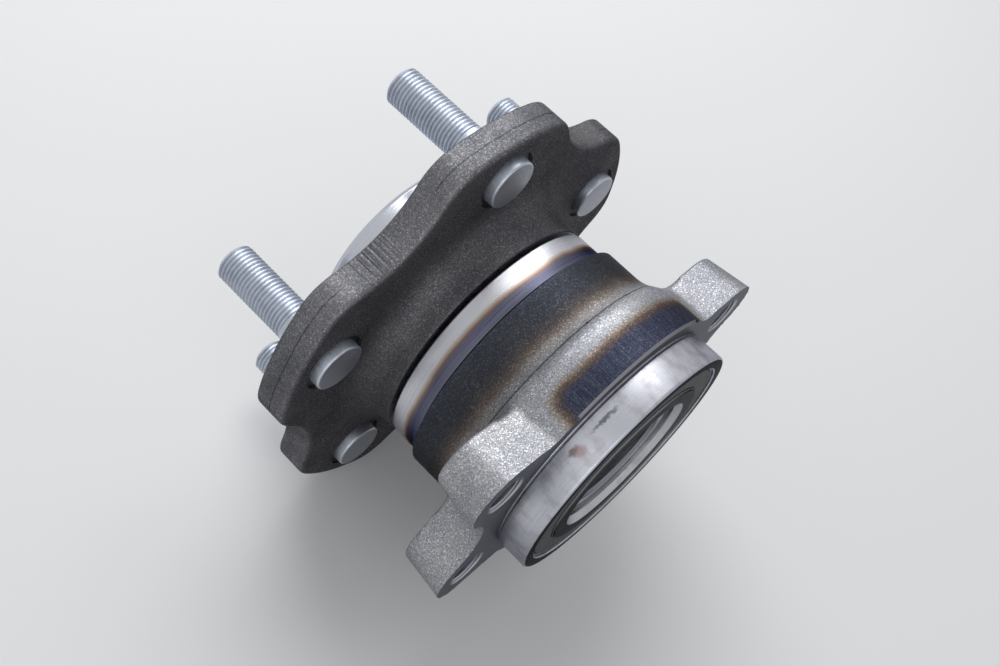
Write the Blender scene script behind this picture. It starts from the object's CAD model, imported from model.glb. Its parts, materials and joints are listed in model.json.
import bmesh
import bpy
import json
import math
from mathutils import Matrix, Vector


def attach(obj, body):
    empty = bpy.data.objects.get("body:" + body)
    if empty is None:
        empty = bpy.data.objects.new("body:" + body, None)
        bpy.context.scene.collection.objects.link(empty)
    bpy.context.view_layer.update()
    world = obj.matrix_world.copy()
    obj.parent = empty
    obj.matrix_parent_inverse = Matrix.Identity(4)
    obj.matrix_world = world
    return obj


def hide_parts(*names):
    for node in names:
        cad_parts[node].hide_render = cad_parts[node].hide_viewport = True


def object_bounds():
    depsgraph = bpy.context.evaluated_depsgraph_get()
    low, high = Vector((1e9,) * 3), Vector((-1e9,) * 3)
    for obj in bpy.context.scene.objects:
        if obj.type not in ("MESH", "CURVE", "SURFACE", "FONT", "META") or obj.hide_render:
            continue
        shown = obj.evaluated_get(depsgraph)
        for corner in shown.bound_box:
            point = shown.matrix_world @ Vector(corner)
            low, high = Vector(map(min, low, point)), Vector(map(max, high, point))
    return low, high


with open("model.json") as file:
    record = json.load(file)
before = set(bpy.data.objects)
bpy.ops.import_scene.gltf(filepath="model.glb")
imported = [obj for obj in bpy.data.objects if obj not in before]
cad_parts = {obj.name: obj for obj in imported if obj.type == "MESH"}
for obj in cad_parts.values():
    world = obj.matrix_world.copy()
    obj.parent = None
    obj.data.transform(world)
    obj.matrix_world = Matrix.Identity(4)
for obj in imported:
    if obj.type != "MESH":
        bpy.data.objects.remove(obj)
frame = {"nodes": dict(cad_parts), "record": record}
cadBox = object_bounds()
nodes = frame["nodes"]

mm = 0.001


def deselectAll():
    if bpy.context.object and bpy.context.object.mode != "OBJECT":
        bpy.ops.object.mode_set(mode="OBJECT")
    bpy.ops.object.select_all(action="DESELECT")


def makeActive(piece):
    deselectAll()
    piece.select_set(True)
    bpy.context.view_layer.objects.active = piece


def applyPlace(piece):
    # the place goes into the mesh, and the object stays at the origin
    makeActive(piece)
    bpy.ops.object.transform_apply(location=True, rotation=True, scale=True)


def applyModifier(piece, modifier):
    makeActive(piece)
    bpy.ops.object.modifier_apply(modifier=modifier.name)


def selectByPlace(piece, wanted, kind="VERT"):
    # edit mode, with everything that wanted(centre) accepts selected
    makeActive(piece)
    bpy.ops.object.mode_set(mode="EDIT")
    bpy.ops.mesh.select_mode(type=kind)
    bpy.ops.mesh.select_all(action="DESELECT")
    shape = bmesh.from_edit_mesh(piece.data)
    items = {"VERT": shape.verts, "EDGE": shape.edges, "FACE": shape.faces}[kind]
    for item in items:
        if kind == "VERT":
            chosen = wanted(item.co)
        elif kind == "EDGE":
            chosen = all(wanted(v.co) for v in item.verts)
        else:
            chosen = wanted(item.calc_center_median())
        item.select_set(bool(chosen))
    shape.select_flush_mode()
    bmesh.update_edit_mesh(piece.data)


def roundedOutline(corners, arcSteps=5):
    # corners are (station, radius, rounding) in mm; each rounded corner becomes a short arc
    outline = []
    for i, (s, r, size) in enumerate(corners):
        here = Vector((s, r))
        if size <= 0:
            outline.append(here)
            continue
        toLast = (Vector(corners[i - 1][:2]) - here).normalized()
        toNext = (Vector(corners[(i + 1) % len(corners)][:2]) - here).normalized()
        half = toLast.angle(toNext) / 2
        reach = size / math.tan(half)
        centre = here + (toLast + toNext).normalized() * (size / math.sin(half))
        first = here + toLast * reach - centre
        last = here + toNext * reach - centre
        swing = first.angle_signed(last)
        for k in range(arcSteps + 1):
            turnBy = Matrix.Rotation(-swing * k / arcSteps, 2)
            outline.append(centre + turnBy @ first)
    return outline


def turnedPiece(name, corners, segments=256, closed=True, arcSteps=5):
    # a ring of edges is extruded and resized from point to point of the outline, round the hub's axis
    outline = roundedOutline(corners, arcSteps)
    s, r = outline[0]
    deselectAll()
    bpy.ops.mesh.primitive_circle_add(
        vertices=segments, radius=r * mm, location=(0, -s * mm, 0), rotation=(math.pi / 2, 0, 0)
    )
    piece = bpy.context.object
    piece.name = name
    piece.data.name = name
    applyPlace(piece)
    bpy.ops.object.mode_set(mode="EDIT")
    bpy.ops.mesh.select_all(action="SELECT")
    if not closed:
        bpy.ops.mesh.edge_face_add()
        bpy.ops.mesh.select_all(action="SELECT")
    steps = outline[1:] + (outline[:1] if closed else [])
    for nextS, nextR in steps:
        bpy.ops.mesh.extrude_region_move(TRANSFORM_OT_translate={"value": (0, (s - nextS) * mm, 0)})
        size = nextR / r
        bpy.ops.transform.resize(value=(size, 1, size), center_override=(0, -nextS * mm, 0))
        s, r = nextS, nextR
    bpy.ops.mesh.select_all(action="SELECT")
    bpy.ops.mesh.remove_doubles(threshold=0.000002)
    bpy.ops.mesh.normals_make_consistent(inside=False)
    bpy.ops.object.mode_set(mode="OBJECT")
    return piece


def cutOrJoin(piece, other, operation):
    change = piece.modifiers.new("change", "BOOLEAN")
    change.operation = operation
    change.solver = "EXACT"
    change.object = other
    applyModifier(piece, change)
    bpy.data.objects.remove(other, do_unlink=True)


def weldSeams(piece, distance=0.000004):
    # after several cuts: near points welded, slivers dissolved, any hole closed, faces turned outward
    makeActive(piece)
    bpy.ops.object.mode_set(mode="EDIT")
    bpy.ops.mesh.select_all(action="SELECT")
    bpy.ops.mesh.remove_doubles(threshold=distance)
    bpy.ops.mesh.dissolve_degenerate(threshold=distance / 2)
    bpy.ops.mesh.select_all(action="DESELECT")
    bpy.ops.mesh.select_non_manifold(extend=False, use_wire=False, use_multi_face=False, use_verts=False)
    bpy.ops.mesh.fill_holes(sides=12)
    bpy.ops.mesh.select_all(action="SELECT")
    bpy.ops.mesh.normals_make_consistent(inside=False)
    bpy.ops.object.mode_set(mode="OBJECT")


def joinPieces(name, pieces):
    makeActive(pieces[0])
    for piece in pieces[1:]:
        piece.select_set(True)
    if len(pieces) > 1:
        bpy.ops.object.join()
    pieces[0].name = name
    pieces[0].data.name = name
    return pieces[0]


def cylinderAt(x, z, r, fromS, toS, segments=96, farR=None):
    # a cylinder along the axis, at (x, z), between two stations, in mm; farR tapers it towards the second one
    deselectAll()
    middle = (fromS + toS) / 2
    bpy.ops.mesh.primitive_cone_add(
        vertices=segments,
        radius1=r * mm,
        radius2=(r if farR is None else farR) * mm,
        depth=abs(toS - fromS) * mm,
        location=(x * mm, -middle * mm, z * mm),
        rotation=(math.pi / 2 if toS > fromS else -math.pi / 2, 0, 0),
    )
    piece = bpy.context.object
    applyPlace(piece)
    return piece


def copyPiece(piece, name):
    twin = piece.copy()
    twin.data = piece.data.copy()
    twin.name = name
    twin.data.name = name
    bpy.context.scene.collection.objects.link(twin)
    return twin


def smoothShading(piece, degrees=32):
    makeActive(piece)
    bpy.ops.object.shade_smooth_by_angle(angle=math.radians(degrees))


def faceCount(piece):
    return sum(len(p.vertices) - 2 for p in piece.data.polygons)


# finishes: small helpers first, then the values and the function of each finish


def newFinish(name, metallic, roughness):
    finish = bpy.data.materials.new(name)
    finish.use_nodes = True
    tree = finish.node_tree
    shader = tree.nodes["Principled BSDF"]
    shader.inputs["Metallic"].default_value = metallic
    shader.inputs["Roughness"].default_value = roughness
    return finish, tree, shader


def addNode(tree, kind, inputs=None, **settings):
    # inputs may be values or other nodes' outputs
    made = tree.nodes.new("ShaderNode" + kind)
    for setting, value in settings.items():
        setattr(made, setting, value)
    for socket, value in (inputs or {}).items():
        if isinstance(value, bpy.types.NodeSocket):
            tree.links.new(value, made.inputs[socket])
        else:
            made.inputs[socket].default_value = value
    return made


def calc(tree, operation, a, b=0.0, clamp=False):
    return addNode(tree, "Math", {0: a, 1: b}, operation=operation, use_clamp=clamp).outputs[0]


def fade(tree, value, low, high, toLow=0.0, toHigh=1.0):
    return addNode(
        tree,
        "MapRange",
        {"Value": value, "From Min": low, "From Max": high, "To Min": toLow, "To Max": toHigh},
        interpolation_type="SMOOTHSTEP",
    ).outputs[0]


def mixColour(tree, amount, a, b, blend="MIX"):
    mix = addNode(tree, "Mix", {"Factor": amount}, data_type="RGBA", blend_type=blend)
    for socket, value in ((mix.inputs[6], a), (mix.inputs[7], b)):
        if isinstance(value, bpy.types.NodeSocket):
            tree.links.new(value, socket)
        else:
            socket.default_value = (*value, 1)
    return mix.outputs[2]


def colourSteps(tree, value, steps):
    ramp = addNode(tree, "ValToRGB", {0: value})
    for i, (at, colour) in enumerate(steps):
        stop = ramp.color_ramp.elements[i] if i < 2 else ramp.color_ramp.elements.new(at)
        stop.position = at
        stop.color = (*colour, 1)
    return ramp.outputs[0]


def grain(tree, point, scale, detail=2.0, rough=0.5):
    return addNode(
        tree, "TexNoise", {"Vector": point, "Scale": scale, "Detail": detail, "Roughness": rough}
    ).outputs[0]


def hubPlace(tree):
    # a point's own coordinates, and its station in mm, radius in mm and angle in degrees
    point = addNode(tree, "TexCoord").outputs["Object"]
    parts = addNode(tree, "SeparateXYZ", {0: point}).outputs
    station = calc(tree, "MULTIPLY", parts[1], -1000.0)
    flat = addNode(tree, "CombineXYZ", {0: parts[0], 1: 0.0, 2: parts[2]}).outputs[0]
    length = addNode(tree, "VectorMath", {0: flat}, operation="LENGTH").outputs[1]
    radius = calc(tree, "MULTIPLY", length, 1000.0)
    angle = calc(tree, "MULTIPLY", calc(tree, "ARCTAN2", parts[0], parts[2]), 57.2958)
    return point, station, radius, angle


def drawnRound(tree, point, lift, around):
    # coordinates for noise drawn out round the axis, with no seam: a direction, and a lift along it
    parts = addNode(tree, "SeparateXYZ", {0: point}).outputs
    flat = addNode(tree, "CombineXYZ", {0: parts[0], 1: 0.0, 2: parts[2]}).outputs[0]
    facing = addNode(tree, "VectorMath", {0: flat}, operation="NORMALIZE").outputs[0]
    facing = addNode(tree, "VectorMath", {0: facing, "Scale": around}, operation="SCALE").outputs[0]
    raised = addNode(tree, "CombineXYZ", {0: 0.0, 1: lift, 2: 0.0}).outputs[0]
    return addNode(tree, "VectorMath", {0: facing, 1: raised}, operation="ADD").outputs[0]


def toolMarks(tree, point, station, radius):
    # fine turning lines that follow the axis
    lift = calc(tree, "ADD", station, calc(tree, "MULTIPLY", radius, 1.7))
    return grain(tree, drawnRound(tree, point, lift, 0.13), 9.0, 2.0, 0.6)


grit = {
    "pitScale": 2500.0,
    "cloudScale": 60.0,
    "sparkScale": 3200.0,
    "shadow": 0.45,
    "spark": 0.75,
    "pitDepth": 0.00005,
}


def blasted(tree, point, colour, low, high):
    # grit-blasted steel: a mottled colour with bright grains, and the height of its pits
    pits = grain(tree, point, grit["pitScale"], 3.0, 0.65)
    cloud = grain(tree, point, grit["cloudScale"], 3.0, 0.55)
    cells = addNode(tree, "TexVoronoi", {"Vector": point, "Scale": grit["sparkScale"]}).outputs["Color"]
    pick = addNode(tree, "SeparateColor", {0: cells}).outputs[0]
    tone = mixColour(tree, fade(tree, cloud, 0.3, 0.7), low, high)
    tone = mixColour(tree, 1.0, colour, tone, "MULTIPLY")
    tone = mixColour(tree, fade(tree, pits, 0.58, 0.40, 0.0, grit["shadow"]), tone, (0.012, 0.012, 0.014))
    tone = mixColour(tree, fade(tree, pick, 0.78, 0.98, 0.0, grit["spark"]), tone, (2.0, 2.05, 2.15), "MULTIPLY")
    return tone, pits, pick


def finishBlasted(name, base, roughness, zones=None):
    finish, tree, shader = newFinish(name, 0.75, roughness)
    point, station, radius, angle = hubPlace(tree)
    base = zones(tree, point, station, radius, angle) if zones else base
    tone, pits, pick = blasted(tree, point, base, (0.86, 0.86, 0.88), (1.12, 1.10, 1.06))
    tree.links.new(tone, shader.inputs["Base Color"])
    tree.links.new(tone, shader.inputs["Specular Tint"])
    tree.links.new(fade(tree, pick, 0.0, 1.0, roughness + 0.07, roughness - 0.07), shader.inputs["Roughness"])
    bump = addNode(tree, "Bump", {"Strength": 0.65, "Distance": grit["pitDepth"], "Height": pits})
    tree.links.new(bump.outputs[0], shader.inputs["Normal"])
    return finish


def finishTurned(name, base, roughness, marks=0.5, zones=None):
    finish, tree, shader = newFinish(name, 1.0, roughness)
    point, station, radius, angle = hubPlace(tree)
    lines = toolMarks(tree, point, station, radius)
    base = zones(tree, point, station, radius, angle) if zones else base
    cloud = grain(tree, point, 40.0, 3.0, 0.6)
    tone = mixColour(tree, 1.0, base, mixColour(tree, cloud, (0.88, 0.88, 0.90), (1.06, 1.06, 1.05)), "MULTIPLY")
    tone = mixColour(tree, fade(tree, lines, 0.35, 0.65, 0.0, 0.25), tone, (0.30, 0.31, 0.34))
    tree.links.new(tone, shader.inputs["Base Color"])
    tree.links.new(tone, shader.inputs["Specular Tint"])
    tree.links.new(fade(tree, lines, 0.3, 0.7, roughness - 0.05, roughness + 0.10), shader.inputs["Roughness"])
    bump = addNode(tree, "Bump", {"Strength": marks, "Distance": 0.00002, "Height": lines})
    tree.links.new(bump.outputs[0], shader.inputs["Normal"])
    return finish


def closeTo(tree, station, angle, spot):
    # 1 inside a small mark on a round wall, 0 outside it
    along = calc(tree, "MULTIPLY", calc(tree, "SUBTRACT", angle, spot["angle"]), spot["radius"] * math.pi / 180)
    along = calc(tree, "POWER", calc(tree, "DIVIDE", along, spot["long"]), 2.0)
    across = calc(tree, "DIVIDE", calc(tree, "SUBTRACT", station, spot["station"]), spot["wide"])
    across = calc(tree, "POWER", across, 2.0)
    return fade(tree, calc(tree, "ADD", along, across), 1.3, 0.0)


def line(tree, value, at, half):
    # 1 on a thin line where the value passes a number
    off = calc(tree, "ABSOLUTE", calc(tree, "SUBTRACT", value, at))
    return fade(tree, off, half * 1.6, half * 0.5)


# outer ring's skin: blasted steel, tinted where the raceways were hardened
ringTint = {
    "body": [
        (0.0, (0.075, 0.08, 0.105)),
        (0.25, (0.052, 0.058, 0.072)),
        (0.50, (0.055, 0.058, 0.068)),
        (0.62, (0.082, 0.074, 0.072)),
        (0.71, (0.145, 0.122, 0.108)),
        (0.80, (0.26, 0.247, 0.24)),
        (0.92, (0.40, 0.41, 0.44)),
    ],
    "patch": [
        (0.0, (0.40, 0.41, 0.44)),
        (0.18, (0.33, 0.29, 0.255)),
        (0.38, (0.155, 0.112, 0.082)),
        (0.60, (0.085, 0.07, 0.08)),
        (0.80, (0.048, 0.055, 0.095)),
        (1.0, (0.042, 0.05, 0.085)),
    ],
    "bodyFrom": 31.2,
    "bodyTo": 53.2,
    "patchStart": 56.6,
    "patchFull": 64.5,
    "patchAngle": 43.0,
    "patchFade": 13.0,
    "partingLine": 51.5,
}
nick = {"station": 51.4, "angle": -7.7, "radius": 44.6, "long": 0.9, "wide": 0.5}


def ringTints(tree, point, station, radius, angle):
    wobble = calc(tree, "MULTIPLY", calc(tree, "SUBTRACT", grain(tree, point, 55.0, 3.0, 0.6), 0.5), 3.2)
    s = calc(tree, "ADD", station, wobble)
    span = ringTint["bodyTo"] - ringTint["bodyFrom"]
    along = calc(tree, "DIVIDE", calc(tree, "SUBTRACT", s, ringTint["bodyFrom"]), span, clamp=True)
    colour = colourSteps(tree, along, ringTint["body"])
    # the two patches between the upper and the lower ears
    turned = calc(tree, "ABSOLUTE", angle)
    turned = calc(tree, "MINIMUM", turned, calc(tree, "SUBTRACT", 180.0, turned))
    turned = calc(tree, "ADD", turned, calc(tree, "MULTIPLY", wobble, 1.2))
    heat = fade(tree, s, ringTint["patchStart"], ringTint["patchFull"])
    fullAngle = ringTint["patchAngle"] - ringTint["patchFade"]
    heat = calc(tree, "MULTIPLY", heat, fade(tree, turned, ringTint["patchAngle"], fullAngle))
    heat = calc(tree, "MULTIPLY", heat, fade(tree, radius, 49.0, 47.0))
    patch = colourSteps(tree, heat, ringTint["patch"])
    drawn = drawnRound(tree, point, calc(tree, "MULTIPLY", station, 0.12), 126.0)
    streak = fade(tree, grain(tree, drawn, 1.0, 2.0, 0.6), 0.42, 0.66, 0.0, 0.5)
    patch = mixColour(tree, calc(tree, "MULTIPLY", streak, heat), patch, (0.13, 0.135, 0.17))
    colour = mixColour(tree, fade(tree, heat, 0.0, 0.12), colour, patch)
    # parting line of the forging dies, and a nick beside it
    onBody = fade(tree, radius, 47.5, 46.5)
    parting = calc(tree, "MULTIPLY", line(tree, station, ringTint["partingLine"], 0.24), onBody)
    parting = calc(tree, "MAXIMUM", calc(tree, "MULTIPLY", parting, 0.7), closeTo(tree, station, angle, nick))
    return mixColour(tree, parting, colour, (0.035, 0.035, 0.04))


# outer ring's ground parts: seal band, groove, spigot and bores
ground = {
    "steel": (0.60, 0.61, 0.66),
    "band": [
        (0.0, (0.70, 0.71, 0.745)),
        (0.46, (0.64, 0.64, 0.67)),
        (0.57, (0.40, 0.29, 0.21)),
        (0.64, (0.16, 0.11, 0.10)),
        (0.74, (0.085, 0.085, 0.145)),
        (1.0, (0.12, 0.125, 0.18)),
    ],
    "bandFrom": 24.0,
    "bandTo": 34.0,
    "endFace": (0.10, 0.103, 0.115),
}
rustMarks = [
    {"station": 72.9, "angle": -45.0, "radius": 41.3, "long": 2.4, "wide": 1.2, "colour": (0.16, 0.08, 0.07)},
    {"station": 74.3, "angle": -43.0, "radius": 41.3, "long": 2.2, "wide": 1.6, "colour": (0.40, 0.28, 0.27)},
    {"station": 73.0, "angle": -28.6, "radius": 41.3, "long": 5.6, "wide": 0.75, "colour": (0.07, 0.07, 0.09)},
]


def groundZones(tree, point, station, radius, angle):
    wobble = calc(tree, "MULTIPLY", calc(tree, "SUBTRACT", grain(tree, point, 60.0, 2.0, 0.5), 0.5), 2.0)
    s = calc(tree, "ADD", station, wobble)
    span = ground["bandTo"] - ground["bandFrom"]
    along = calc(tree, "DIVIDE", calc(tree, "SUBTRACT", s, ground["bandFrom"]), span, clamp=True)
    colour = colourSteps(tree, along, ground["band"])
    onBand = calc(tree, "MULTIPLY", fade(tree, station, 34.6, 34.2), fade(tree, radius, 38.2, 38.8))
    colour = mixColour(tree, onBand, ground["steel"], colour)
    inGroove = calc(tree, "MULTIPLY", fade(tree, station, 33.8, 33.95), fade(tree, station, 35.6, 35.2))
    colour = mixColour(tree, inGroove, colour, (0.015, 0.015, 0.018))
    # soft stains along the spigot, and three small marks
    stain = grain(tree, drawnRound(tree, point, calc(tree, "MULTIPLY", station, 0.05), 4.0), 3.0, 3.0, 0.6)
    stain = calc(tree, "MULTIPLY", fade(tree, stain, 0.45, 0.68, 0.0, 0.6), fade(tree, station, 68.0, 69.0))
    colour = mixColour(tree, stain, colour, (0.40, 0.37, 0.40))
    ragged = calc(tree, "MULTIPLY", calc(tree, "SUBTRACT", grain(tree, point, 800.0, 3.0, 0.6), 0.5), 2.4)
    for mark in rustMarks:
        edge = closeTo(tree, calc(tree, "ADD", station, ragged), angle, mark)
        colour = mixColour(tree, calc(tree, "MULTIPLY", edge, 0.8), colour, mark["colour"])
    atEnd = fade(tree, station, 79.75, 79.88)
    return mixColour(tree, atEnd, colour, ground["endFace"])


# hub's forged skin: dark blasted steel with its parting line on the lobes
hubTint = {
    "light": (0.20, 0.203, 0.22),
    "dark": (0.15, 0.148, 0.158),
    "inner": (0.105, 0.10, 0.108),
    "partingLine": 5.3,
}


def hubTints(tree, point, station, radius, angle):
    cloud = grain(tree, point, 30.0, 3.0, 0.6)
    colour = mixColour(tree, fade(tree, cloud, 0.35, 0.65), hubTint["dark"], hubTint["light"])
    inside = calc(tree, "MULTIPLY", fade(tree, station, 9.6, 10.4), 0.75)
    colour = mixColour(tree, inside, colour, hubTint["inner"])
    wobble = calc(tree, "MULTIPLY", calc(tree, "SUBTRACT", grain(tree, point, 120.0, 2.0, 0.5), 0.5), 0.8)
    parting = line(tree, calc(tree, "ADD", station, wobble), hubTint["partingLine"], 0.22)
    parting = calc(tree, "MULTIPLY", parting, fade(tree, radius, 66.5, 68.5))
    return mixColour(tree, calc(tree, "MULTIPLY", parting, 0.6), colour, (0.04, 0.04, 0.045))


def hubTurnedZones(tree, point, station, radius, angle):
    # the broached bore is darker than the pilots, and a brown line runs round its mouth
    bore = calc(tree, "MULTIPLY", fade(tree, radius, 17.5, 16.5), fade(tree, station, 4.2, 5.0))
    colour = mixColour(tree, bore, (0.70, 0.72, 0.77), (0.26, 0.265, 0.29))
    spindle = calc(tree, "MULTIPLY", fade(tree, station, 76.7, 76.95), fade(tree, radius, 19.6, 20.4))
    return mixColour(tree, spindle, colour, (0.20, 0.15, 0.12))


def innerRingZones(tree, point, station, radius, angle):
    atFace = calc(tree, "MULTIPLY", fade(tree, station, 79.4, 79.7), fade(tree, radius, 23.9, 24.1))
    colour = mixColour(tree, atFace, (0.60, 0.61, 0.64), (0.09, 0.093, 0.10))
    stain = grain(tree, point, 140.0, 3.0, 0.6)
    return mixColour(tree, fade(tree, stain, 0.55, 0.75, 0.0, 0.4), colour, (0.30, 0.25, 0.22))


def finishZinc(name):
    # zinc plating: a milky blue-grey coat with faint crystals, worn a little darker in places
    finish, tree, shader = newFinish(name, 0.85, 0.4)
    point, station = hubPlace(tree)[:2]
    crystals = addNode(tree, "TexVoronoi", {"Vector": point, "Scale": 900.0}).outputs["Color"]
    pick = addNode(tree, "SeparateColor", {0: crystals}).outputs[0]
    cloud = grain(tree, point, 160.0, 3.0, 0.6)
    tone = mixColour(tree, fade(tree, cloud, 0.3, 0.7), (0.46, 0.50, 0.565), (0.57, 0.61, 0.68))
    tone = mixColour(tree, fade(tree, pick, 0.0, 1.0, 0.0, 0.35), tone, (0.66, 0.70, 0.78))
    onFace = fade(tree, station, 12.9, 12.98)
    tone = mixColour(tree, onFace, tone, (0.30, 0.315, 0.35))
    tree.links.new(tone, shader.inputs["Base Color"])
    fine = grain(tree, point, 1800.0, 2.0, 0.5)
    tree.links.new(fade(tree, fine, 0.3, 0.7, 0.34, 0.50), shader.inputs["Roughness"])
    bump = addNode(tree, "Bump", {"Strength": 0.35, "Distance": 0.00002, "Height": fine})
    tree.links.new(bump.outputs[0], shader.inputs["Normal"])
    return finish


def finishMoulded(name, low, high, roughness, scale, depth):
    # rubber or nylon: two near tones in a cloud, a fine skin
    finish, tree, shader = newFinish(name, 0.0, roughness)
    point = addNode(tree, "TexCoord").outputs["Object"]
    cloud = grain(tree, point, scale * 0.12, 3.0, 0.6)
    tree.links.new(mixColour(tree, fade(tree, cloud, 0.3, 0.7), low, high), shader.inputs["Base Color"])
    fine = grain(tree, point, scale, 2.0, 0.6)
    tree.links.new(fade(tree, fine, 0.2, 0.8, roughness - 0.08, roughness + 0.08), shader.inputs["Roughness"])
    bump = addNode(tree, "Bump", {"Strength": 0.4, "Distance": depth, "Height": fine})
    tree.links.new(bump.outputs[0], shader.inputs["Normal"])
    return finish


finishes = {
    "ringSkin": finishBlasted("ringSkin", None, 0.48, ringTints),
    "ringGround": finishTurned("ringGround", None, 0.30, 0.35, groundZones),
    "ringFaced": finishTurned("ringFaced", (0.30, 0.305, 0.325), 0.36, 0.6),
    "earThreads": finishTurned("earThreads", (0.50, 0.51, 0.55), 0.30, 0.2),
    "hubSkin": finishBlasted("hubSkin", None, 0.52, hubTints),
    "hubTurned": finishTurned("hubTurned", None, 0.28, 0.6, hubTurnedZones),
    "spotfaced": finishTurned("spotfaced", (0.16, 0.162, 0.17), 0.35, 0.6),
    "studZinc": finishZinc("studZinc"),
    "raceSteel": finishTurned("raceSteel", None, 0.22, 0.3, innerRingZones),
    "cageNylon": finishMoulded("cageNylon", (0.52, 0.43, 0.27), (0.60, 0.51, 0.34), 0.5, 900.0, 0.00002),
    "sealSteel": finishTurned("sealSteel", (0.42, 0.43, 0.46), 0.3, 0.4),
    "sealRubber": finishMoulded("sealRubber", (0.018, 0.018, 0.019), (0.032, 0.032, 0.034), 0.55, 1400.0, 0.00003),
    "encoderRubber": finishMoulded(
        "encoderRubber", (0.016, 0.016, 0.018), (0.028, 0.028, 0.031), 0.68, 1200.0, 0.00002
    ),
}


def paint(piece, names, choose=None):
    # finishes go into the piece's slots; choose(centre, normal) gives each face its slot's number
    piece.data.materials.clear()
    for name in names:
        piece.data.materials.append(finishes[name])
    if choose:
        for face in piece.data.polygons:
            face.material_index = choose(face.center, face.normal)


print("finishes:", len(finishes))

# camera: a 45 mm lens close to the hub, inboard of it and a little above
camera = {
    "place": (-0.20762, -0.12371, 0.29284),
    "right": (0.67139, -0.69844, 0.24784),
    "up": (0.48145, 0.66529, 0.57061),
    "back": (-0.56342, -0.26377, 0.78293),
    "lens": 44.6,
    "sensor": 36.0,
}
cameraData = bpy.data.cameras.new("viewCamera")
cameraData.lens = camera["lens"]
cameraData.sensor_width = camera["sensor"]
cameraData.clip_start = 0.01
cameraObject = bpy.data.objects.new("viewCamera", cameraData)
turn = Matrix((camera["right"], camera["up"], camera["back"])).transposed()
cameraObject.matrix_world = Matrix.Translation(camera["place"]) @ turn.to_4x4()
bpy.context.scene.collection.objects.link(cameraObject)
bpy.context.scene.camera = cameraObject

# light: one wide soft box over the far side, a weaker one near the camera, and a plain pale room
lamps = {
    "overheadSoftbox": {"place": (0.34, 0.42, 0.64), "aim": (0.0, -0.03, 0.0), "size": 0.75, "power": 5.2},
    "cameraSideFill": {"place": (-0.575, -0.45, 0.415), "aim": (0.0, -0.03, 0.0), "size": 0.9, "power": 1.6},
}
for name, lamp in lamps.items():
    lampData = bpy.data.lights.new(name, "AREA")
    lampData.shape = "SQUARE"
    lampData.size = lamp["size"]
    lampData.energy = lamp["power"]
    lampObject = bpy.data.objects.new(name, lampData)
    lampObject.location = lamp["place"]
    toAim = Vector(lamp["aim"]) - Vector(lamp["place"])
    lampObject.rotation_euler = toAim.to_track_quat("-Z", "Y").to_euler()
    bpy.context.scene.collection.objects.link(lampObject)

room = {"colour": (0.93, 0.94, 0.96, 1), "ambient": 0.44, "seen": 0.72}
world = bpy.data.worlds.new("paleRoom")
bpy.context.scene.world = world
world.use_nodes = True
roomTree = world.node_tree
roomTree.nodes.clear()
worldOut = roomTree.nodes.new("ShaderNodeOutputWorld")
roomLight = roomTree.nodes.new("ShaderNodeBackground")
roomSeen = roomTree.nodes.new("ShaderNodeBackground")
roomMix = roomTree.nodes.new("ShaderNodeMixShader")
rays = roomTree.nodes.new("ShaderNodeLightPath")
roomLight.inputs["Color"].default_value = room["colour"]
roomLight.inputs["Strength"].default_value = room["ambient"]
roomSeen.inputs["Color"].default_value = room["colour"]
roomSeen.inputs["Strength"].default_value = room["seen"]
seenBy = rays.outputs["Is Camera Ray"]
for ray in ("Is Glossy Ray", "Is Transmission Ray"):
    both = roomTree.nodes.new("ShaderNodeMath")
    both.operation = "MAXIMUM"
    roomTree.links.new(seenBy, both.inputs[0])
    roomTree.links.new(rays.outputs[ray], both.inputs[1])
    seenBy = both.outputs[0]
roomTree.links.new(seenBy, roomMix.inputs[0])
roomTree.links.new(roomLight.outputs[0], roomMix.inputs[1])
roomTree.links.new(roomSeen.outputs[0], roomMix.inputs[2])
roomTree.links.new(roomMix.outputs[0], worldOut.inputs["Surface"])

bpy.context.scene.view_settings.view_transform = "Standard"

# floor: flat, at the lowest point of the flange
floor = {"size": 24.0, "colour": (0.80, 0.805, 0.81, 1), "roughness": 0.75}
bpy.ops.object.select_all(action="DESELECT")
bpy.ops.mesh.primitive_plane_add(size=floor["size"], location=(0, 0, cadBox[0][2] - 0.0001))
floorObject = bpy.context.object
floorObject.name = "studioFloor"
floorPaint = bpy.data.materials.new("floorPaint")
floorPaint.use_nodes = True
floorShader = floorPaint.node_tree.nodes["Principled BSDF"]
floorShader.inputs["Base Color"].default_value = floor["colour"]
floorShader.inputs["Roughness"].default_value = floor["roughness"]
floorObject.data.materials.append(floorPaint)


# wheel studs: one is modelled on the hub's axis and copied to the five places
stud = {
    "circleR": 57.15,
    "count": 5,
    "headR": 7.85,
    "headBack": 9.6,
    "headFace": 13.0,
    "headRound": 0.7,
    "knurlR": 6.2,
    "shankR": 6.0,
    "shankEnd": -5.2,
    "coreR": 5.22,
    "crestR": 5.93,
    "tip": -31.9,
    "tipR": 4.9,
    "tipSlope": 1.15,
    "pitch": 1.25,
    "stepsPerTurn": 48,
}


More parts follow.
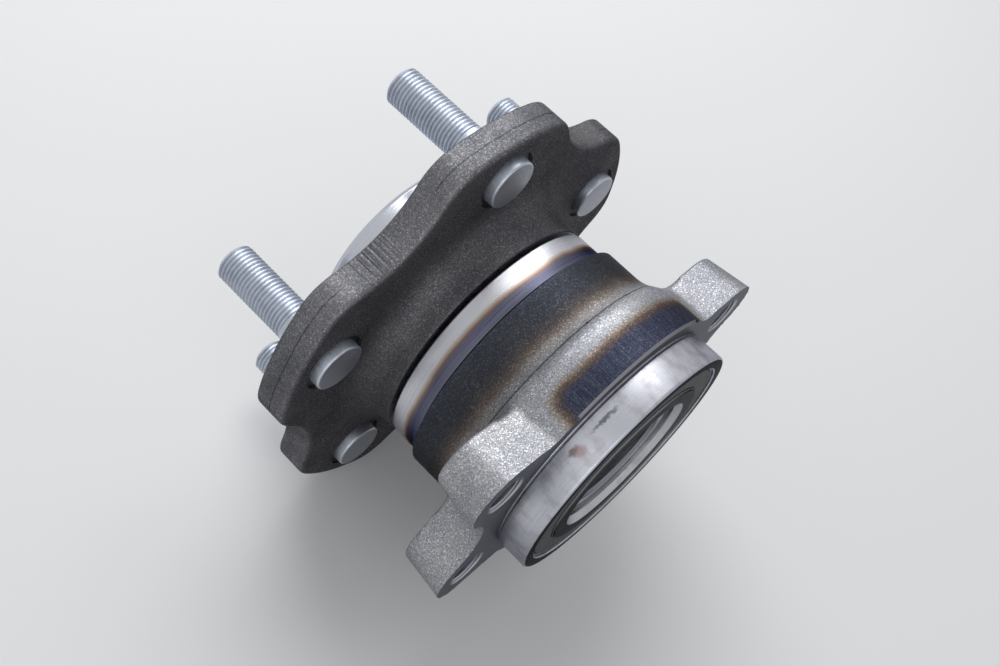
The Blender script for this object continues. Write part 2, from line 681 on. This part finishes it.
def threadRidge(name, rootR, crestR, pitch, fromS, toS, steps):
    # one tooth, drawn as a small four-sided face and swept along its helix by a screw modifier
    deselectAll()
    bpy.ops.mesh.primitive_plane_add(size=1)
    ridge = bpy.context.object
    ridge.name = name
    bpy.ops.object.mode_set(mode="EDIT")
    bpy.ops.mesh.select_all(action="SELECT")
    height = crestR - rootR
    bpy.ops.transform.resize(value=(height * mm, pitch * 0.86 * mm, 1))
    bpy.ops.transform.translate(value=((rootR + crestR) / 2 * mm, -fromS * mm, 0))
    bpy.ops.object.mode_set(mode="OBJECT")
    selectByPlace(ridge, lambda p: p.x > (rootR + height / 2) * mm)
    bpy.ops.transform.resize(value=(1, 0.2, 1), center_override=(crestR * mm, -fromS * mm, 0))
    bpy.ops.mesh.select_all(action="SELECT")
    bpy.ops.mesh.delete(type="ONLY_FACE")
    bpy.ops.object.mode_set(mode="OBJECT")
    screw = ridge.modifiers.new("screw", "SCREW")
    screw.axis = "Y"
    screw.steps = steps
    screw.render_steps = steps
    screw.iterations = int(abs(toS - fromS) / pitch)
    screw.screw_offset = -pitch * mm if toS > fromS else pitch * mm
    screw.use_merge_vertices = False
    applyModifier(ridge, screw)
    bpy.ops.object.mode_set(mode="EDIT")
    bpy.ops.mesh.select_all(action="SELECT")
    bpy.ops.mesh.fill_holes(sides=4)
    bpy.ops.mesh.select_all(action="SELECT")
    bpy.ops.mesh.normals_make_consistent(inside=False)
    bpy.ops.object.mode_set(mode="OBJECT")
    return ridge


def axisEnd(piece, station):
    # closes a turned piece's open end with a flat face
    selectByPlace(piece, lambda p: abs(p.y + station * mm) < 0.00001, "EDGE")
    bpy.ops.mesh.edge_face_add()
    bpy.ops.object.mode_set(mode="OBJECT")


def studOnAxis():
    core = turnedPiece(
        "studCore",
        [
            (stud["tip"], stud["tipR"] - 0.35, 0),
            (stud["tip"] + 0.35, stud["tipR"], 0),
            (stud["tip"] + 0.7, stud["coreR"], 0),
            (stud["shankEnd"] - 0.9, stud["coreR"], 0),
            (stud["shankEnd"], stud["shankR"], 0),
            (-0.4, stud["shankR"], 0),
            (0, stud["knurlR"], 0),
            (stud["headBack"], stud["knurlR"], 0),
            (stud["headBack"], stud["headR"], 0.0),
            (stud["headFace"], stud["headR"], stud["headRound"]),
            (stud["headFace"], stud["headR"] * 0.55, 0),
        ],
        segments=64,
        closed=False,
        arcSteps=4,
    )
    axisEnd(core, stud["headFace"])
    selectByPlace(core, lambda p: True)
    bpy.ops.mesh.normals_make_consistent(inside=False)
    bpy.ops.object.mode_set(mode="OBJECT")
    ridge = threadRidge(
        "studRidge",
        stud["coreR"] - 0.15,
        stud["crestR"],
        stud["pitch"],
        stud["shankEnd"] + 0.2,
        stud["tip"] - 1.5,
        stud["stepsPerTurn"],
    )
    envelope = turnedPiece(
        "ridgeEnvelope",
        [
            (stud["tip"], stud["tipR"] - 0.35, 0),
            (stud["tip"] + stud["tipSlope"], stud["crestR"] + 0.05, 0),
            (stud["shankEnd"] - 0.2, stud["crestR"] + 0.05, 0),
            (stud["shankEnd"] - 0.05, stud["crestR"] - 0.3, 0),
        ],
        segments=96,
        closed=False,
    )
    axisEnd(envelope, stud["shankEnd"] - 0.05)
    selectByPlace(envelope, lambda p: True)
    bpy.ops.mesh.normals_make_consistent(inside=False)
    bpy.ops.object.mode_set(mode="OBJECT")
    cutOrJoin(ridge, envelope, "INTERSECT")
    cutOrJoin(core, ridge, "UNION")
    return core


def makeStuds():
    pattern = studOnAxis()
    smoothShading(pattern, 35)
    paint(pattern, ["studZinc"])
    pieces = []
    for i in range(stud["count"]):
        angle = 2 * math.pi / stud["count"] * i
        piece = copyPiece(pattern, f"threadedStud_{i + 1}")
        piece.location = (stud["circleR"] * math.sin(angle) * mm, 0, stud["circleR"] * math.cos(angle) * mm)
        applyPlace(piece)
        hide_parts(f"wheel_stud_{i + 1}")
        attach(piece, "rotating_hub")
        pieces.append(piece)
    bpy.data.objects.remove(pattern, do_unlink=True)
    print("studs:", len(pieces), "of", faceCount(pieces[0]), "triangles")
    return pieces


studPieces = makeStuds()

# hub: the forged wheel flange with its neck, pilots and spindle
hubShape = {
    "flangeR": 70.97,
    "flangeT": 10.5,
    "notchDepthR": 60.5,
    "notchR": 32.8,
    "cornerR": 14.0,
    "notches": 5,
    "rimSteps": 1440,
    "frontRound": 0.8,
    "backRound": 1.7,
    "spotfaceR": 9.6,
    "spotfaceS": 9.6,
    "splineTeeth": 28,
    "splineRootR": 15.1,
    "splineGroove": 1.9,
    "splineTaper": 0.62,
    "splineMiddle": 39.0,
    "splineLength": 72.5,
    "shearFrom": -28.0,
    "shearTo": 24.0,
    "shearDepth": 0.13,
    "shearNotch": -1,
    "shearGather": 5.0,
}
hubProfile = [
    # station, radius, rounding in mm, from the nut seat out over the pilot and back along the spindle
    (4.0, 15.6, 0),
    (4.0, 26.5, 1.2),
    (-15.5, 26.5, 0),
    (-16.5, 27.5, 0),
    (-16.5, 31.4, 0.3),
    (-14.9, 33.0, 0.6),
    (-6.4, 33.0, 0.2),
    (-6.4, 32.6, 0.15),
    (-5.9, 32.6, 0.15),
    (-5.0, 34.0, 0.3),
    (-0.6, 34.0, 0),
    (0.3, 34.0, 0.2),
    (0.3, 36.2, 0.2),
    (0.0, 36.6, 0),
    (0.0, 50.0, 0),
    (10.5, 50.0, 0),
    (10.5, 49.0, 0),
    (10.5, 40.0, 8.9),
    (22.7, 40.0, 0.6),
    (22.7, 29.45, 2.6),
    (32.64, 29.45, 0),
]
spindleProfile = [
    # from the ball groove to the spindle's end and back through its bore
    (50.6, 26.6, 0.3),
    (50.6, 22.2, 0),
    (76.0, 22.2, 0),
    (77.0, 21.2, 0),
    (77.0, 16.4, 0),
    (76.2, 15.6, 0),
    (74.6, 15.6, 0),
    (73.4, 13.9, 0),
    (5.7, 13.9, 0),
]


def flangeRadius(angle):
    # the flange's outline: lobes on one circle, hollow notches between them, and rounded corners
    sector = 2 * math.pi / hubShape["notches"]
    a = abs((angle + sector / 2) % sector - sector / 2)
    a = sector / 2 - a  # angle from the middle of the notch
    notchAt = hubShape["notchDepthR"] + hubShape["notchR"]
    cornerAt = hubShape["flangeR"] - hubShape["cornerR"]
    reach = hubShape["notchR"] + hubShape["cornerR"]
    cornerAngle = math.acos((cornerAt**2 + notchAt**2 - reach**2) / (2 * cornerAt * notchAt))
    if a >= cornerAngle:
        return hubShape["flangeR"]
    toNotch = math.atan2(cornerAt * math.sin(cornerAngle), notchAt - cornerAt * math.cos(cornerAngle))
    touch = math.atan2(
        hubShape["notchR"] * math.sin(toNotch), notchAt - hubShape["notchR"] * math.cos(toNotch)
    )
    if a <= touch:
        across = notchAt * math.sin(a)
        return notchAt * math.cos(a) - math.sqrt(hubShape["notchR"] ** 2 - across**2)
    across = cornerAt * math.sin(cornerAngle - a)
    return cornerAt * math.cos(cornerAngle - a) + math.sqrt(hubShape["cornerR"] ** 2 - across**2)


def shearMarks(angle):
    # how far the trimming shear left the notch's wall in or out, in mm
    sector = 360 / hubShape["notches"]
    step = math.degrees(angle) - sector / 2
    notch = round(step / sector)
    a = step - notch * sector
    edge = min(a - hubShape["shearFrom"] / 2, hubShape["shearTo"] / 2 - a)
    fade = max(0.0, min(1.0, edge / 2.5))
    marks = math.sin(a * 7.3 + 2.4 * math.sin(a * 0.83)) * math.sin(a * 1.9 + 1) + 0.6 * math.sin(
        a * 4.1 + 3 * math.sin(a * 0.47)
    )
    gather = 0.25 + 0.75 * math.exp(-(((a + hubShape["shearGather"]) / 4.5) ** 2))
    strength = 1.0 if notch == hubShape["shearNotch"] else 0.15
    return hubShape["shearDepth"] * strength * fade * gather * marks


def makeFlange():
    deselectAll()
    bpy.ops.mesh.primitive_circle_add(
        vertices=hubShape["rimSteps"], radius=hubShape["flangeR"] * mm, fill_type="NGON", rotation=(math.pi / 2, 0, 0)
    )
    flange = bpy.context.object
    flange.name = "wheelFlange"
    applyPlace(flange)
    bpy.ops.object.mode_set(mode="EDIT")
    shape = bmesh.from_edit_mesh(flange.data)
    for v in shape.verts:
        angle = math.atan2(v.co.x, v.co.z)
        r = flangeRadius(angle) * mm
        v.co.x, v.co.z = r * math.sin(angle), r * math.cos(angle)
    bmesh.update_edit_mesh(flange.data)
    bpy.ops.mesh.select_all(action="SELECT")
    bpy.ops.mesh.extrude_region_move(TRANSFORM_OT_translate={"value": (0, -hubShape["flangeT"] * mm, 0)})
    bpy.ops.mesh.select_all(action="SELECT")
    bpy.ops.mesh.normals_make_consistent(inside=False)
    bpy.ops.object.mode_set(mode="OBJECT")
    cutOrJoin(flange, cylinderAt(0, 0, 44.0, -2.0, 13.0, 96), "DIFFERENCE")
    for station, size, steps in ((0, hubShape["frontRound"], 3), (hubShape["flangeT"], hubShape["backRound"], 5)):
        selectByPlace(
            flange, lambda p: abs(p.y + station * mm) < 0.00001 and math.hypot(p.x, p.z) > 0.055, "EDGE"
        )
        bpy.ops.mesh.bevel(offset=size * mm, offset_type="OFFSET", segments=steps, profile=0.5, affect="EDGES")
        bpy.ops.object.mode_set(mode="OBJECT")
    makeActive(flange)
    bpy.ops.object.mode_set(mode="EDIT")
    shape = bmesh.from_edit_mesh(flange.data)
    for v in shape.verts:
        angle = math.atan2(v.co.x, v.co.z)
        r = math.hypot(v.co.x, v.co.z)
        inside = flangeRadius(angle) - r / mm
        if inside > 3:
            continue
        push = 1 + shearMarks(angle) * mm / r * max(0.0, 1 - inside / 2)
        v.co.x *= push
        v.co.z *= push
    bmesh.update_edit_mesh(flange.data)
    bpy.ops.object.mode_set(mode="OBJECT")
    return flange


def raceArc(station, pitchR, raceR, fromR, toR, steps=8):
    # points down into a ball groove and out again, between two radii
    start = -math.acos((pitchR - fromR) / raceR)
    end = math.acos((pitchR - toR) / raceR)
    arc = []
    for k in range(steps + 1):
        a = start + (end - start) * k / steps
        arc.append((station + raceR * math.sin(a), pitchR - raceR * math.cos(a), 0))
    return arc


def hubFinish(centre, normal):
    # 1 where the forging is turned or ground, 2 in the spotfaces, 0 on its skin
    s, r = -centre.y / mm, math.hypot(centre.x, centre.z) / mm
    if abs(s - hubShape["flangeT"]) < 0.05:
        return 0
    if s < 0.05 or r < 38.9:
        return 1
    if abs(s - hubShape["spotfaceS"]) < 0.05 and normal.y < -0.9 and r > 45:
        return 2
    return 0


def makeHub():
    groove = raceArc(38.0, 31.3, 6.153, 29.45, 26.6)
    body = turnedPiece("hubBody", hubProfile[:-1] + groove + spindleProfile, 288)
    cutOrJoin(body, makeFlange(), "UNION")
    print("hub: flange joined to the neck,", faceCount(body), "triangles")
    cutters = []
    for i in range(hubShape["notches"]):
        angle = 2 * math.pi / hubShape["notches"] * i
        x, z = stud["circleR"] * math.sin(angle), stud["circleR"] * math.cos(angle)
        spotface = cylinderAt(x, z, hubShape["spotfaceR"], hubShape["spotfaceS"], 15.0, 80)
        cutOrJoin(spotface, cylinderAt(x, z, stud["knurlR"], -1.0, 10.0, 64), "UNION")
        cutters.append(spotface)
    cutOrJoin(body, joinPieces("spotfaces", cutters), "DIFFERENCE")
    teeth = []
    for i in range(hubShape["splineTeeth"]):
        deselectAll()
        middle, rootR = hubShape["splineMiddle"] * mm, hubShape["splineRootR"] * mm
        bpy.ops.mesh.primitive_cube_add(size=1, location=(0, -middle, rootR - mm))
        tooth = bpy.context.object
        tooth.scale = (hubShape["splineGroove"] * mm, hubShape["splineLength"] * mm, 2 * mm)
        applyPlace(tooth)
        selectByPlace(tooth, lambda p: p.z > rootR - 0.6 * mm)
        bpy.ops.transform.resize(value=(hubShape["splineTaper"], 1, 1), center_override=(0, -middle, rootR))
        bpy.ops.object.mode_set(mode="OBJECT")
        tooth.rotation_euler = (0, 2 * math.pi * i / hubShape["splineTeeth"], 0)
        applyPlace(tooth)
        teeth.append(tooth)
    cutOrJoin(body, joinPieces("broach", teeth), "DIFFERENCE")
    weldSeams(body)
    paint(body, ["hubSkin", "hubTurned", "spotfaced"], hubFinish)
    body.name = "hubForging"
    body.data.name = "hubForging"
    smoothShading(body, 30)
    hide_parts("hub")
    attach(body, "rotating_hub")
    print("hub:", faceCount(body), "triangles")
    return body


hubPiece = makeHub()

# outer ring: a forged body with four ears, and the turned band, groove, spigot and bore inside it
ringShape = {
    "bodyR": 41.9,
    "flareS": 48.0,
    "flareEndS": 55.6,
    "kneeR": 45.75,
    "skinStart": 34.8,
    "knuckleFace": 69.0,
    "boltX": 48.5,
    "boltZ": 22.0,
    "earR": 11.55,
    "earBack": 53.4,
    "earDraft": 6.5,
    "rootX": 26.0,
    "rootZ": 13.5,
    "rootR": 18.4,
    "sideX": 56.0,
    "sideZ": 14.0,
    "waistX": 69.0,
    "waistR": 18.6,
    "holeR": 6.5,
    "voxel": 0.62,
    "smoothTimes": 12,
    "seamTimes": 60,
    "chamfer": 0.9,
    "chamferX": 26.0,
}
ringProfile = [
    # station, radius, rounding in mm: the turned parts, with the body kept under the forged skin
    (24.1, 36.8, 0),
    (24.1, 39.8, 0.5),
    (34.0, 39.8, 0.15),
    (34.0, 38.9, 0.1),
    (35.2, 38.9, 0),
    (35.4, 39.3, 0),
    (68.2, 39.3, 0),
    (68.2, 40.8, 0),
    (69.5, 40.6, 0.5),
    (70.1, 41.3, 0.2),
    (79.9, 41.3, 0.9),
    (79.9, 37.6, 0),
    (79.5, 37.2, 0),
    (70.6, 37.2, 0),
    (70.6, 36.2, 0),
]


def makeEars():
    overcut = 1.5  # the machined face is cut back to its station later
    front = ringShape["knuckleFace"] + overcut
    back = ringShape["earBack"]
    slope = math.tan(math.radians(ringShape["earDraft"]))
    grow = slope * overcut
    shrink = slope * (ringShape["knuckleFace"] - back)
    pieces = []
    for sideX in (1, -1):
        for sideZ in (1, -1):
            spots = (("boltX", "boltZ", "earR", 96), ("rootX", "rootZ", "rootR", 128))
            cones = []
            for x, z, r, segments in spots:
                place = sideX * ringShape[x], sideZ * ringShape[z]
                cones.append(cylinderAt(*place, ringShape[r] + grow, front, back, segments, ringShape[r] - shrink))
            web = joinPieces("earWeb", cones)
            bpy.ops.object.mode_set(mode="EDIT")
            bpy.ops.mesh.select_all(action="SELECT")
            bpy.ops.mesh.convex_hull()
            bpy.ops.object.mode_set(mode="OBJECT")
            pieces.append(web)
    # the block between the two ears of a side, hollowed to a waist
    deselectAll()
    bpy.ops.mesh.primitive_cube_add(size=1, location=(0, -(front + back) / 2 * mm, 0))
    block = bpy.context.object
    block.scale = (2 * ringShape["sideX"] * mm, (front - back) * mm, 2 * ringShape["sideZ"] * mm)
    applyPlace(block)
    waists = []
    for sideX in (1, -1):
        place = sideX * ringShape["waistX"], 0
        waists.append(
            cylinderAt(*place, ringShape["waistR"] - grow, front + 1, back - 1, 128, ringShape["waistR"] + shrink)
        )
    cutOrJoin(block, joinPieces("waists", waists), "DIFFERENCE")
    pieces.append(block)
    return pieces


def blendSeams(skin):
    # the seams between the ears and the body are worked over more than the rest
    seams = skin.vertex_groups.new(name="seams")
    wanted = []
    for v in skin.data.vertices:
        x, s, z = abs(v.co.x) / mm, -v.co.y / mm, abs(v.co.z) / mm
        r = math.hypot(x, z)
        atFlank = 25 < x < 40 and 28 < z < 40 and 43 < r < 50
        atBack = 46 < s < 57.5 and 41 < r < 51 and x > 27
        if (atFlank or atBack) and s < ringShape["knuckleFace"] + 0.5:
            wanted.append(v.index)
    seams.add(wanted, 1.0, "REPLACE")
    soften = skin.modifiers.new("blend", "SMOOTH")
    soften.factor = 0.5
    soften.iterations = ringShape["seamTimes"]
    soften.vertex_group = "seams"
    applyModifier(skin, soften)


def makeSkin():
    body = turnedPiece(
        "ringBody",
        [
            (ringShape["skinStart"] - 3, 37.5, 0),
            (ringShape["skinStart"] - 3, ringShape["bodyR"], 0),
            (ringShape["flareS"] + 1.2, ringShape["bodyR"], 9.0),
            (ringShape["flareEndS"] - 1.0, ringShape["kneeR"], 9.0),
            (ringShape["knuckleFace"] + 3, ringShape["kneeR"], 0),
            (ringShape["knuckleFace"] + 3, 37.5, 0),
        ],
        256,
        arcSteps=7,
    )
    skin = joinPieces("ringSkin", [body] + makeEars())
    voxels = skin.modifiers.new("voxels", "REMESH")
    voxels.mode = "VOXEL"
    voxels.voxel_size = ringShape["voxel"] * mm
    applyModifier(skin, voxels)
    print("ring: forging drawn,", faceCount(skin), "triangles")
    soften = skin.modifiers.new("soften", "SMOOTH")
    soften.factor = 0.5
    soften.iterations = ringShape["smoothTimes"]
    applyModifier(skin, soften)
    blendSeams(skin)
    # machined ends: everything beyond the groove and the knuckle's face is cut away
    for station, outward in ((ringShape["skinStart"], 1), (ringShape["knuckleFace"], -1)):
        makeActive(skin)
        bpy.ops.object.mode_set(mode="EDIT")
        bpy.ops.mesh.select_all(action="SELECT")
        bpy.ops.mesh.bisect(
            plane_co=(0, -station * mm, 0), plane_no=(0, outward, 0), use_fill=True, clear_outer=True
        )
        bpy.ops.object.mode_set(mode="OBJECT")
    # bore for the turned core, the four ear holes, and the turned chamfer above and below
    face = ringShape["knuckleFace"]
    cutters = [cylinderAt(0, 0, 38.97, 30.0, 75.0, 288)]
    for x in (ringShape["boltX"], -ringShape["boltX"]):
        for z in (ringShape["boltZ"], -ringShape["boltZ"]):
            cutters.append(cylinderAt(x, z, ringShape["holeR"], 48.0, 75.0, 64))
    cutOrJoin(skin, joinPieces("drills", cutters), "DIFFERENCE")
    chamfer = turnedPiece(
        "knuckleChamfer",
        [
            (face - ringShape["chamfer"], 45.0 + ringShape["chamfer"], 0),
            (face - ringShape["chamfer"], 49.0, 0),
            (face + 1, 49.0, 0),
            (face + 1, 44.0, 0),
        ],
        288,
    )
    for x in (-ringShape["chamferX"], ringShape["chamferX"]):
        makeActive(chamfer)
        bpy.ops.object.mode_set(mode="EDIT")
        bpy.ops.mesh.select_all(action="SELECT")
        bpy.ops.mesh.bisect(plane_co=(x * mm, 0, 0), plane_no=(x, 0, 0), use_fill=True, clear_outer=True)
        bpy.ops.object.mode_set(mode="OBJECT")
    cutOrJoin(skin, chamfer, "DIFFERENCE")
    print("ring: faced and drilled,", faceCount(skin), "triangles")
    return skin


def makeEarThreads():
    # a threaded sleeve with a chamfered mouth, copied to the four ears
    face = ringShape["knuckleFace"]
    sleeve = turnedPiece(
        "earThread",
        [
            (ringShape["earBack"] + 0.6, 5.45, 0),
            (ringShape["earBack"] + 0.6, ringShape["holeR"] + 0.02, 0),
            (face, ringShape["holeR"] + 0.02, 0),
            (face, 6.4, 0),
            (face - 0.95, 5.45, 0),
        ],
        96,
    )
    tap = threadRidge("tap", 5.3, 6.02, 1.25, 52.0, face + 2, 48)
    cutOrJoin(sleeve, tap, "DIFFERENCE")
    sleeves = []
    for x in (ringShape["boltX"], -ringShape["boltX"]):
        for z in (ringShape["boltZ"], -ringShape["boltZ"]):
            twin = copyPiece(sleeve, "earThread")
            twin.location = (x * mm, 0, z * mm)
            applyPlace(twin)
            sleeves.append(twin)
    bpy.data.objects.remove(sleeve, do_unlink=True)
    return sleeves


def ringFinish(centre, normal):
    # 1 on the faced and chamfered end of the skin, 0 elsewhere
    return int(-centre.y > (ringShape["knuckleFace"] - 1.2) * mm and normal.y < -0.4)


def makeRing():
    core = turnedPiece(
        "ringCore",
        ringProfile
        + [
            (s, 2 * 31.3 - r, 0)
            for s, r, size in raceArc(62.0, 31.3, 6.153, 26.4, 29.3)[::-1]
        ]
        + [
            (s, 2 * 31.3 - r, 0)
            for s, r, size in raceArc(38.0, 31.3, 6.153, 29.3, 26.4)[::-1]
        ]
        + [(31.6, 36.2, 0), (31.6, 36.8, 0)],
        288,
    )
    skin = makeSkin()
    sleeves = makeEarThreads()
    paint(skin, ["ringSkin", "ringFaced"], ringFinish)
    for part, finish in [(core, "ringGround")] + [(sleeve, "earThreads") for sleeve in sleeves]:
        paint(part, [finish])
    piece = joinPieces("ringForging", [skin, core] + sleeves)
    smoothShading(piece, 30)
    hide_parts("outer_ring")
    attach(piece, "outer")
    print("ring:", faceCount(piece), "triangles")
    return piece


ringPiece = makeRing()

# CAD nodes that stay get their finishes by material slot
nodeFinish = {
    "race_steel": "raceSteel",
    "cage_plastic": "cageNylon",
    "seal_steel": "sealSteel",
    "seal_rubber": "sealRubber",
    "encoder_rubber": "encoderRubber",
    "stud_plating": "studZinc",
    "hub_forging": "hubSkin",
    "outer_forging": "ringSkin",
}
for row in frame["record"]["subparts"]:
    paint(nodes[row["node"]], [nodeFinish[row["material_slot"]]])
